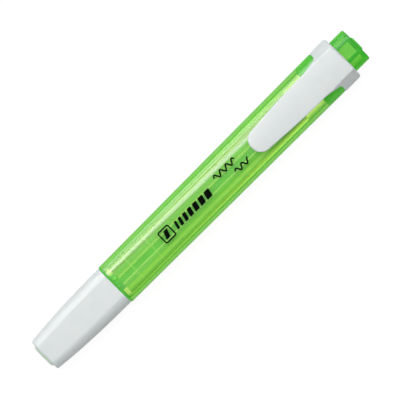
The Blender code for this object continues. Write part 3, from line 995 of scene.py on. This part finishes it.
def blade_section(x):
    """The clip's front row and back row at a station ahead of the collar."""
    root = smooth_step((x - ROOT_X) / ROOT_LENGTH)
    half = clip_half_width(x)
    top_z = CLIP_TOP_Z - CROWN
    bottom_z = CLIP_TOP_Z - CLIP_THICKNESS
    bottom_z += root * (ROOT_BOTTOM_Z - bottom_z)
    nose = min(1.0, max(0.0, 1 - (x - CLIP_TIP_X) / NOSE_LENGTH))
    round_off = NOSE_DROP * (1 - math.sqrt(1 - nose**2))
    top_z -= round_off
    bottom_z += 0.6 * round_off
    near_root = max(0.0, 1 - (COLLAR_FRONT_X - x) / FILLET_LENGTH)
    fillet = 1 - math.sqrt(1 - near_root**2)
    low_z = bottom_z + BACK_EDGE - fillet * FILLET_HEIGHT
    root_bottom = PLATEAU + (CLIP_TOP_Z - low_z) * FACET_SLOPE
    half_top = half - DRAFT + root * (PLATEAU - half + DRAFT)
    half_bottom = half + root * (root_bottom - half)
    radius = min(EDGE, 0.5 * half)
    pad_in = smooth_step((x - PAD_X[0]) / (0.7 * MM))
    pad_out = smooth_step((PAD_X[1] - x) / (0.9 * MM))
    sag = PAD_DEPTH * pad_in * pad_out
    front = front_row(half_top, half_bottom, top_z, low_z, radius)
    back_radius = min(0.2 * MM, 0.4 * half)
    back = back_row(half_bottom, low_z, bottom_z, back_radius, sag, inset=fillet * FILLET_HEIGHT)
    return front, back


def blade_stations():
    """Close together round the tip and the pad, and further apart along the blade."""
    before_pad_x = PAD_X[1] + 1.0 * MM
    xs = spaced(COLLAR_FRONT_X, ROOT_X, 16)
    xs += spaced(ROOT_X, before_pad_x, 18)[1:]
    xs += spaced(before_pad_x, TIP_END_X, 8)[1:]
    for angle in spaced(0.0, math.radians(88.5), 25)[1:]:
        xs.append(TIP_END_X - TIP_LENGTH * math.sin(angle))
    return xs


def ray_to_oval(half, direction):
    """Where a ray from the axis meets an oval."""
    half_width, half_height = half
    flat = FLAT_SHARE * half_width
    side = half_width - flat
    dy, dz = abs(direction[0]), abs(direction[1])
    if dz > 0 and dy * half_height / dz <= flat:
        y, z = dy * half_height / dz, half_height
    else:
        a = (dy / side) ** 2 + (dz / half_height) ** 2
        b = -2 * dy * flat / side**2
        c = (flat / side) ** 2 - 1
        t = (-b + math.sqrt(b * b - 4 * a * c)) / (2 * a)
        y, z = t * dy, t * dz
    return math.copysign(y, direction[0]), AXIS_Z + math.copysign(z, direction[1])


def collar_ring():
    """(y, z) round the collar: the clip's front row, then down one side, under and back up."""
    front, back = blade_section(COLLAR_FRONT_X)
    foot_angle = math.atan2(FOOT[1] - AXIS_Z, FOOT[0])
    below = []
    for y, z in oval(COLLAR_HALF_WIDTH, BARREL_HALF_HEIGHT):
        angle = math.atan2(z - AXIS_Z, y)
        if foot_angle >= angle or angle >= math.pi - foot_angle:
            turn = (foot_angle - angle) % (2 * math.pi)
            below.append((turn, y, z))
    below.sort()
    below = [(y, z) for _, y, z in below]
    edge_y, edge_z = front[-1]
    facet = list(zip(spaced(edge_y, FOOT[0], 5), spaced(edge_z, FOOT[1], 5)))[1:-1]
    rest = facet + below + [(-y, z) for y, z in reversed(facet)]
    return front, back, rest


def make_clip():
    """Collar and blade as the one moulding that they are."""
    front, back, rest = collar_ring()
    bm = bmesh.new()

    def row(x, points):
        return [bm.verts.new(point) for point in at_station(x, points)]

    def strip(near, far, closed=False):
        for i in range(0 if closed else 1, len(near)):
            bm.faces.new((near[i - 1], near[i], far[i], far[i - 1]))

    def drawn_in(points, depth):
        """The section moved towards its middle."""
        middle = Vector((0.0, AXIS_Z + 1.2 * MM))
        moved = []
        for point in points:
            arm = Vector(point) - middle
            moved.append(tuple(middle + arm * (1 - depth / arm.length)))
        return moved

    front_x = COLLAR_FRONT_X + 0.05 * MM
    lip = 0.15 * MM
    whole = front + rest
    seat = [ray_to_oval(grown(SPIGOT_HALF, 0.1 * MM), (y, z - AXIS_Z)) for y, z in whole]
    hole = [ray_to_oval(grown(POST_HALF, 0.1 * MM), (y, z - AXIS_Z)) for y, z in whole]

    # The ring's outside, from its front edge to its rounded rear edge.
    root = row(front_x, front)
    first = root + row(front_x, drawn_in(rest, lip))
    rows = [first]
    for step in (1, 2, 3):
        angle = math.pi / 2 * step / 3
        x = front_x + lip * (1 - math.cos(angle))
        rows.append(row(x, front + drawn_in(rest, lip * (1 - math.sin(angle)))))
    round_rear = 0.75 * MM
    for step in range(0, 7):
        angle = math.pi / 2 * step / 6
        x = COLLAR_REAR_X - round_rear * (1 - math.sin(angle))
        rows.append(row(x, drawn_in(whole, round_rear * (1 - math.cos(angle)))))
    # Its rear face, the hole for the plug, and the seat for the barrel's spigot.
    seat_end_x = SPIGOT_END_X + 0.3 * MM
    rows.append(row(COLLAR_REAR_X, hole))
    rows.append(row(seat_end_x, hole))
    rows.append(row(seat_end_x, seat))
    rows.append(row(front_x, seat))
    for near, far in zip(rows, rows[1:]):
        strip(near, far, closed=True)
    # Its front face, round the clip's root.
    seat_front = rows[-1]
    underside = [root[0]] + row(front_x, back[1:-1]) + [root[-1]]
    strip(seat_front[:ROW], underside)
    strip(seat_front[ROW - 1 :] + seat_front[:1], first[ROW - 1 :] + first[:1])
    # The blade.
    near_front, near_back = root, underside
    for x in blade_stations():
        section = blade_section(x)
        far_front = row(x, section[0])
        far_back = [far_front[0]] + row(x, section[1][1:-1]) + [far_front[-1]]
        strip(near_front, far_front)
        strip(near_back, far_back)
        near_front, near_back = far_front, far_back
    for i in range(1, ROW):
        corners = []
        for vertex in (near_front[i - 1], near_front[i], near_back[i], near_back[i - 1]):
            if vertex not in corners:
                corners.append(vertex)
        bm.faces.new(corners)
    clip = finish_mesh("collar_clip", bm, WHITE)
    even_shading(clip)
    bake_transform(clip)
    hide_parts("clip_collar", "clip_blade")


# ---------------------------------------------------------------- print on the barrel


def make_print_marks():
    """Plain marks that say what the pen does: a page with a stroke on it, widths, and waves.

    They are drawn in millimetres on the barrel's flat front.
    """
    ink_thickness = 0.015 * MM
    clearance = 0.002 * MM
    bm = bmesh.new()
    base_z = AXIS_Z + BARREL_HALF_HEIGHT

    def polygon(points):
        bm.faces.new([bm.verts.new((x * MM, y * MM, base_z)) for x, y in points])

    def band(centre, half_width):
        """A ribbon of even width along a line of (x, y) points."""
        sides = ([], [])
        for i, (x, y) in enumerate(centre):
            before = centre[max(0, i - 1)]
            after = centre[min(len(centre) - 1, i + 1)]
            along = Vector((after[0] - before[0], after[1] - before[1])).normalized()
            across = Vector((-along.y, along.x)) * half_width
            sides[0].append((x + across.x, y + across.y))
            sides[1].append((x - across.x, y - across.y))
        for a, b, c, d in zip(sides[0], sides[0][1:], sides[1][1:], sides[1]):
            polygon((a, b, c, d))

    def rounded_square(centre_x, centre_y, half, radius):
        points = []
        for x_side, y_side, start in ((1, 1, 0), (-1, 1, 90), (-1, -1, 180), (1, -1, 270)):
            for angle in spaced(math.radians(start), math.radians(start + 90), 7):
                x = centre_x + x_side * (half - radius) + radius * math.cos(angle)
                y = centre_y + y_side * (half - radius) + radius * math.sin(angle)
                points.append((x, y))
        return points

    def leaning_bar(x, width, low, high, lean):
        polygon([(x, low), (x + width, low), (x + width + lean, high), (x + lean, high)])

    # A page with a stroke on it.
    outer = rounded_square(-14.6, -0.2, half=2.25, radius=0.7)
    inner = rounded_square(-14.6, -0.2, half=1.8, radius=0.35)
    for i in range(len(outer)):
        polygon((outer[i - 1], outer[i], inner[i], inner[i - 1]))
    leaning_bar(-15.9, width=1.6, low=-1.5, high=1.1, lean=1.0)

    # A row of bars that grow from a fine stroke to a broad one.
    bar_x = -11.2
    gap = 0.75
    for step in range(7):
        width = 0.9 + 0.2 * step
        leaning_bar(bar_x, width, low=-1.7, high=0.9, lean=0.6)
        bar_x += width + gap

    # Two waves, one further along than the other.
    half_waves = 0.8  # in each millimetre
    for start, end, middle, height in ((7.7, 16.4, 1.5, 0.8), (13.9, 19.7, -1.6, 0.75)):
        centre = []
        for x in spaced(start, end, 49):
            centre.append((x, middle + height * math.sin((x - start) * math.pi * half_waves)))
        band(centre, half_width=0.26)

    bmesh.ops.remove_doubles(bm, verts=bm.verts, dist=0.001 * MM)
    grown_faces = bmesh.ops.extrude_face_region(bm, geom=list(bm.faces))["geom"]
    lifted = [item for item in grown_faces if isinstance(item, bmesh.types.BMVert)]
    bmesh.ops.translate(bm, vec=(0, 0, ink_thickness), verts=lifted)
    bmesh.ops.translate(bm, vec=(0, 0, clearance), verts=bm.verts)
    marks = finish_mesh("print_marks", bm, PRINT)
    marks.data.shade_flat()
    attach(marks, "pen")


make_barrel()
make_reservoir()
make_nib_holder()
make_nib()
make_cap()
make_liner()
make_plug()
make_clip()
make_print_marks()


# ---------------------------------------------------------------- stage, light and camera


def make_stage():
    """A table far wider than any view, just below the pen."""
    bm = bmesh.new()
    bmesh.ops.create_grid(bm, x_segments=8, y_segments=8, size=2.6)
    mesh = bpy.data.meshes.new("table")
    bm.to_mesh(mesh)
    bm.free()
    table = bpy.data.objects.new("table", mesh)
    table.location.z = -0.05 * MM
    mesh.materials.append(make_floor_material())
    bpy.context.scene.collection.objects.link(table)


def place_lamp(name, lean, reach, size, radiance, shine_only=False):
    """A rectangular lamp that faces the pen, leaning from overhead towards +Y by degrees."""
    lamp = bpy.data.lights.new(name, "AREA")
    lamp.shape = "RECTANGLE"
    lamp.size, lamp.size_y = size
    lamp.energy = radiance * size[0] * size[1] * math.pi
    obj = bpy.data.objects.new(name, lamp)
    obj.visible_diffuse = not shine_only
    bpy.context.scene.collection.objects.link(obj)
    angle = math.radians(lean)
    back = Vector((0.0, math.sin(angle), math.cos(angle)))
    turn = Matrix((Vector((1.0, 0.0, 0.0)), back.cross(Vector((1.0, 0.0, 0.0))), back))
    centre = Vector((0.0, 0.0, AXIS_Z))
    obj.matrix_world = Matrix.Translation(centre + back * reach) @ turn.transposed().to_4x4()


def make_lights():
    world = bpy.data.worlds.new("studio")
    bpy.context.scene.world = world
    world.use_nodes = True
    background = world.node_tree.nodes["Background"]
    background.inputs["Color"].default_value = (1.0, 1.0, 1.0, 1.0)
    background.inputs["Strength"].default_value = 0.2
    # A long lamp nearly overhead is the key. The next two only draw the line of light down the
    # barrel, and the paler band beside it.
    place_lamp("key", lean=18.0, reach=0.70, size=(1.7, 0.28), radiance=2.93)
    place_lamp("line", lean=24.0, reach=0.66, size=(0.3, 0.34), radiance=11.2, shine_only=True)
    place_lamp("band", lean=74.0, reach=0.80, size=(0.5, 0.7), radiance=4.6, shine_only=True)
    place_lamp("side_box", lean=68.0, reach=0.85, size=(1.5, 0.46), radiance=1.2)
    place_lamp("fill", lean=-38.0, reach=1.0, size=(1.2, 0.5), radiance=0.9)


def make_camera():
    """Straight above the pen, far away with a long lens, and turned 45 degrees."""
    camera_data = bpy.data.cameras.new("camera")
    camera_data.lens = 600.0
    camera_data.sensor_width = 36.0
    camera_data.clip_end = 10.0
    camera = bpy.data.objects.new("camera", camera_data)
    bpy.context.scene.collection.objects.link(camera)
    frame_width = 123.3 * MM
    reach = frame_width * camera_data.lens / camera_data.sensor_width
    back = Vector((0.0, 0.0, 1.0))
    right = Vector((1.0, -1.0, 0.0)).normalized()
    up = back.cross(right)
    turn = Matrix((right, up, back)).transposed().to_4x4()
    camera.matrix_world = Matrix.Translation(back * reach + Vector((0.0, 0.0, AXIS_Z))) @ turn
    bpy.context.scene.camera = camera


make_stage()
make_lights()
make_camera()
bpy.context.scene.view_settings.view_transform = "Standard"
